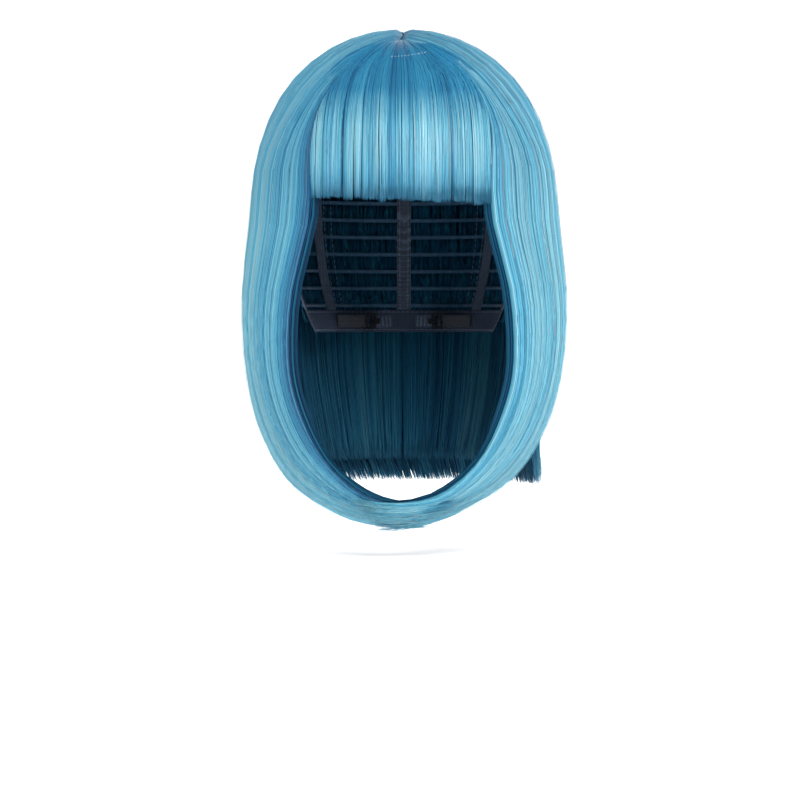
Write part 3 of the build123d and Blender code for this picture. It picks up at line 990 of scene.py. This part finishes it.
def thread_piece(name, lines, outward, width, material):
    """A piece of round threads, one along each line, that rides on the cap."""
    count, points, _ = lines.shape
    tones = np.linspace(0, 0.9, count)
    widths = np.full((count, points), width)
    along = np.tile(np.linspace(0, 1, points), (count, 1))
    piece = tube_mesh(name, lines, outward, widths, tones, along, material, ridge=THREAD_RIDGE)
    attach(piece, "cap")
    return piece


def track_heights():
    """The middle height of each weft track across the back, from the top one down."""
    boxes = [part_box(f"back_weft_track_{row + 1}") for row in range(7)]
    return np.array([(low.z + high.z) / 2 for low, high in boxes])


TRACK_STRANDS = 460
TRACK_REACH = 1.5

# Hair of tracks below this height stays short, clear of the nape layer's swing.
TRACK_DROP_FROM = -50 * MM


def make_track_hair(materials):
    """The first part of the hair that each back track carries. It hangs outside the cap and fills its
    gaps."""
    rng = np.random.default_rng(83)
    heights = np.repeat(track_heights(), TRACK_STRANDS)
    drop = np.where(heights < TRACK_DROP_FROM, 10, 22) * MM
    turn = rng.uniform(-TRACK_REACH, TRACK_REACH, len(heights))
    lines, outward = [], []
    along = np.linspace(0, 1, TRACK_POINTS)
    for step in along:
        drift = turn + rng.normal(0, 0.012, len(turn)) * step
        point, out = head_point(drift, heights - drop * step, 2.4 * MM)
        point = point + out * (step * rng.uniform(0.6, 2.0, len(turn)) * MM)[:, None]
        lines.append(point)
        outward.append(out)
    lines, outward = np.stack(lines, 1), np.stack(outward, 1)
    widths = width_profile(along)[None, :] * rng.uniform(0.7, 1.3, len(heights))[:, None] * MM
    tones = np.clip(rng.normal(0.5, 0.2, len(heights)), 0.02, 0.9)
    piece = tube_mesh(
        "track_hair", lines, outward, widths, tones, np.full(widths.shape, 0.6) * along,
        materials["under"],
    )
    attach(piece, "cap")


def make_track_stitches(materials):
    """The zigzag seam along each back track, on the side that faces the head."""
    count = 330
    heights = track_heights()
    turn = np.linspace(-1.48, 1.48, count)[None, :] + np.zeros((len(heights), 1))
    zigzag = np.where(np.arange(count) % 2, 0.75, -0.75) * MM
    lines, outward = head_point(turn, heights[:, None] + zigzag[None, :], 0.72 * MM)
    thread_piece("weft_zigzag", lines, outward, 0.28 * MM, materials["thread"])


def stitches(start, end):
    """Short raised stitches along one row on the head form, from start to end, each a (turn, height)."""
    (turn_a, z_a), (turn_b, z_b) = start, end
    first, _ = head_point(np.linspace(turn_a, turn_b, 60), np.linspace(z_a, z_b, 60), 0.0)
    length = np.linalg.norm(np.diff(first, axis=0), axis=1).sum()
    count = int(length / STITCH_PITCH)
    starts = np.arange(count) / count
    steps = np.linspace(0, STITCH_LENGTH / length, len(STITCH_LIFT))
    share = starts[:, None] + steps[None, :]
    lines, outward = head_point(turn_a + (turn_b - turn_a) * share, z_a + (z_b - z_a) * share, 0.0)
    return lines + outward * STITCH_LIFT[None, :, None], outward


def make_cap_stitches(materials):
    """Seams on the inside of the bands and tapes."""
    rows = []
    low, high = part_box("nape_band")
    for z in (high.z - 1.4 * MM, low.z + 1.4 * MM):
        rows.append(stitches((-1.46, z), (1.46, z)))
    low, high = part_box("rib_tape_centre")
    for middle in (0.0, RIB_TURN, -RIB_TURN):
        for side in (-1, 1):
            turn = middle + side * RIB_SEAM / HEAD_RADII[1]
            rows.append(stitches((turn, high.z - 1 * MM), (turn, low.z + 1 * MM)))
    lines = np.concatenate([row[0] for row in rows])
    outward = np.concatenate([row[1] for row in rows])
    thread_piece("cap_stitches", lines, outward, STITCH_WIDTH, materials["thread"])


BAND_HEIGHT = 17.2 * MM
BAND_SPAN = math.radians(176)


def band_line(share, rise):
    """Points of a line round the front band, from ear to ear, and the directions out from them. The band is a
    level strip tilted up to the forehead."""
    low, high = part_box("front_band")
    turn = math.pi + (share - 0.5) * BAND_SPAN
    ear_z, front_z = low.z + rise, high.z - BAND_HEIGHT + rise
    z = ear_z + (front_z - ear_z) * np.clip(-np.cos(turn), 0, 1)
    for _ in range(4):
        point, out = head_point(turn, z, 0.0)
        z = ear_z + (front_z - ear_z) * np.clip(-point[:, 1] / HEAD_RADII[1], 0, 1)
    return point, out


def make_band_stitches(materials):
    """Two seams along the inside of the front band."""
    dashes, outs = [], []
    for rise in (1.6 * MM, 14.2 * MM):
        count = 78
        share = (np.arange(count)[:, None] + np.linspace(0, 0.66, 4)[None, :]) / count
        point, out = band_line(share.ravel(), rise)
        lift = np.tile(STITCH_LIFT, count)
        dashes.append((point + out * lift[:, None]).reshape(count, 4, 3))
        outs.append(out.reshape(count, 4, 3))
    thread_piece(
        "band_stitches", np.concatenate(dashes), np.concatenate(outs), STITCH_WIDTH, materials["thread"],
    )


# How steeply the net's rim climbs to the forehead.
RIM_SLOPE = 0.4516


def make_net_threads(materials):
    """The crown net's threads: two families of slanting lines on the inside of the dome."""
    count, points = 130, 16
    for number, slant in (("1", 0.9), ("2", -0.9)):
        start = np.linspace(-math.pi, math.pi, count, endpoint=False)[:, None]
        rise = np.linspace(0, 1, points)[None, :]
        turn = start + slant * rise
        front = -np.cos(turn)
        rim = np.maximum(4 * MM, 1.6 * MM + RIM_SLOPE * HEAD_RADII[1] * np.clip(front, 0, 1))
        z = rim + (0.972 * HEAD_RADII[2] - rim) * np.sin(rise * math.pi / 2)
        lines, outward = head_point(turn, z, -0.14 * MM)
        thread_piece(f"net_threads_{number}", lines, outward, 0.3 * MM, materials["thread"])


def make_parting_stitches(materials):
    """The stitched front edge of the parting patch, a short arc that shows through the fringe's roots."""
    count = 11
    share = (np.arange(count)[:, None] + np.linspace(0, 0.62, 4)[None, :]) / count
    x = -8 * MM + 22 * MM * share
    z = 77.4 * MM + 3.4 * MM * (share ** 2)
    radii = CROWN_RADII - 0.15 * MM
    y = CROWN_CENTRE[1] - radii[1] * np.sqrt(1 - (x / radii[0]) ** 2 - (z / radii[2]) ** 2)
    lines = np.stack([x, y, z], -1)
    outward = unit((lines - CROWN_CENTRE) / radii ** 2)
    lift = np.array([-0.3, 0.12, 0.12, -0.3]) * MM
    thread_piece(
        "parting_stitches", lines + outward * lift[None, :, None], outward, 0.34 * MM,
        materials["pale_thread"],
    )


def make_loops(materials):
    """The raised loops on each loop tape, which the hooks catch."""
    for word, side in (("left", 1), ("right", -1)):
        low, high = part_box(f"loop_tape_{word}")
        middle = (low.z + high.z) / 2
        x = side * (min(abs(low.x), abs(high.x)) + (1.5 + 2.5 * np.arange(9)) * MM)
        bow = np.linspace(-1, 1, 9)
        ring = math.sqrt(1 - (middle / HEAD_DROP) ** 2)
        turn = np.arcsin(x / (HEAD_RADII[0] * ring))
        z = middle + 3.2 * MM * bow
        lines, outward = head_point(turn[:, None], z[None, :], -1.0 * MM)
        rise = 0.8 * MM * np.sqrt(1 - 0.98 * bow ** 2)
        thread_piece(
            f"loops_{word}", lines - outward * rise[None, :, None], outward, 0.5 * MM, materials["thread"],
        )


def make_straps(materials):
    """The elastic strap of each adjuster, ribbed along its length."""
    for word, side in (("left", 1), ("right", -1)):
        low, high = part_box(f"adjuster_strap_{word}")
        outer_x, inner_x = (high.x, low.x) if side > 0 else (low.x, high.x)
        start = Vector((inner_x, high.y, 0))
        end = Vector((outer_x, low.y, 0))
        along = (end - start).normalized()
        inward = Vector((-side * abs(along.y), -abs(along.x), 0))
        start = start + inward * 0.6 * MM - along * 2.4 * MM
        end = end + inward * 1.6 * MM - along * 0.5 * MM
        steps, cords = 60, 9
        points, faces = [], []
        for i in range(steps + 1):
            share = i / steps
            base = start.lerp(end, share)
            pinch = 1 - 0.06 * math.sin(math.pi * share)
            section = []
            for j in range(cords * 2 + 1):
                across = (j / (cords * 2) - 0.5) * 2
                bulge = 0.5 * MM + (0.14 * MM if j % 2 else 0.0) + 0.04 * MM * math.sin(i * math.pi / 2)
                section.append((across, bulge))
            ring = section + [(across, -bulge) for across, bulge in reversed(section)]
            for across, bulge in ring:
                height = (low.z + high.z) / 2 + across * pinch * (high.z - low.z) / 2
                points.append(base + inward * bulge + Vector((0, 0, height)))
        size = (cords * 2 + 1) * 2
        for i in range(steps):
            for j in range(size):
                k = (j + 1) % size
                faces.append((i * size + j, i * size + k, (i + 1) * size + k, (i + 1) * size + j))
        faces.append(tuple(range(size))[::-1])
        faces.append(tuple(steps * size + j for j in range(size)))
        strap = face_mesh(f"elastic_strap_{word}", points, faces, materials["elastic"])
        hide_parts(f"adjuster_strap_{word}")
        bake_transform(strap)


# ---- stage

# The floor lies low enough to clear the swung sides. It curves up to a wall far behind the wig.
FLOOR_DROP = 14 * MM
FLOOR_REACH = 4.0
FLOOR_REAR = 2.4
SWEEP_RADIUS = 0.8
SWEEP_STEPS = 8


def make_stage():
    floor_z = CAD_LOW.z - FLOOR_DROP
    profile = [(-FLOOR_REACH, 0), (FLOOR_REAR, 0)]
    for step in range(1, SWEEP_STEPS + 1):
        turn = math.pi / 2 * step / SWEEP_STEPS
        profile.append((FLOOR_REAR + SWEEP_RADIUS * math.sin(turn), SWEEP_RADIUS * (1 - math.cos(turn))))
    profile.append((FLOOR_REAR + SWEEP_RADIUS, FLOOR_REACH))
    points = [(x, y, floor_z + z) for y, z in profile for x in (-FLOOR_REACH, FLOOR_REACH)]
    faces = [(2 * i, 2 * i + 1, 2 * i + 3, 2 * i + 2) for i in range(len(profile) - 1)]
    material, _, _, shader = node_material("pale_floor")
    shader.inputs["Base Color"].default_value = (0.9, 0.9, 0.9, 1)
    shader.inputs["Roughness"].default_value = 0.8
    shader.inputs["Emission Color"].default_value = (1, 1, 1, 1)
    shader.inputs["Emission Strength"].default_value = FLOOR_GLOW
    face_mesh("sweep", points, faces, material)


def area_light(name, place, aim, size, power):
    data = bpy.data.lights.new(name, "AREA")
    data.shape = "RECTANGLE"
    data.size, data.size_y = size
    data.energy = power
    light = add_object(name, data)
    light.location = place
    light.rotation_mode = "QUATERNION"
    light.rotation_quaternion = (Vector(aim) - Vector(place)).to_track_quat("-Z", "Y")


WORLD_LIGHT = 0.38
FLOOR_GLOW = 0.5


def make_lights():
    """A white surround that lights the hair less than it shows, with soft lamps in front and behind."""
    world = bpy.data.worlds.new("studio")
    world.use_nodes = True
    nodes, links = world.node_tree.nodes, world.node_tree.links
    path = nodes.new("ShaderNodeLightPath")
    strength = nodes.new("ShaderNodeMapRange")
    strength.inputs["To Min"].default_value = WORLD_LIGHT
    strength.inputs["To Max"].default_value = 1.0
    links.new(path.outputs["Is Camera Ray"], strength.inputs["Value"])
    links.new(strength.outputs[0], nodes["Background"].inputs["Strength"])
    nodes["Background"].inputs["Color"].default_value = (1, 1, 1, 1)
    bpy.context.scene.world = world
    middle = (CAD_LOW + CAD_HIGH) / 2
    area_light("key", (0.5, -1.7, 1.05), middle, (1.2, 0.6), 34)
    area_light("fill", (-1.5, -1.0, 0.3), middle, (0.9, 1.4), 10)
    area_light("rim", (1.6, -0.7, 0.25), middle, (0.8, 1.3), 9)
    area_light("back", (0.2, 1.5, 1.0), middle, (1.6, 0.8), 18)


CAMERA_DISTANCE = 2.0
CAMERA_ELEVATION = 1.5
VIEW_WIDTH = 0.496
AIM_HEIGHT = 0.255
AIM_ACROSS = -2.5 * MM


def make_camera():
    low, high = CAD_LOW, CAD_HIGH
    aim = Vector((AIM_ACROSS, 0, low.z + AIM_HEIGHT * (high.z - low.z)))
    tilt = math.radians(CAMERA_ELEVATION)
    data = bpy.data.cameras.new("camera")
    data.sensor_width = 36
    data.lens = data.sensor_width * CAMERA_DISTANCE / VIEW_WIDTH
    camera = add_object("camera", data)
    away = Vector((0, -math.cos(tilt), math.sin(tilt)))
    camera.location = aim + away * CAMERA_DISTANCE
    camera.rotation_mode = "QUATERNION"
    camera.rotation_quaternion = (-away).to_track_quat("-Z", "Y")
    bpy.context.scene.camera = camera
    bpy.context.scene.view_settings.view_transform = "Standard"


make_camera()
make_stage()
make_lights()
MATERIALS = make_materials()
dress_cap(MATERIALS)
make_sides(MATERIALS)
make_sweep(MATERIALS)
make_back(MATERIALS)
make_fringe(MATERIALS)
make_nape(MATERIALS)
make_track_hair(MATERIALS)
make_track_stitches(MATERIALS)
make_cap_stitches(MATERIALS)
make_band_stitches(MATERIALS)
make_net_threads(MATERIALS)
make_parting_stitches(MATERIALS)
make_loops(MATERIALS)
make_straps(MATERIALS)
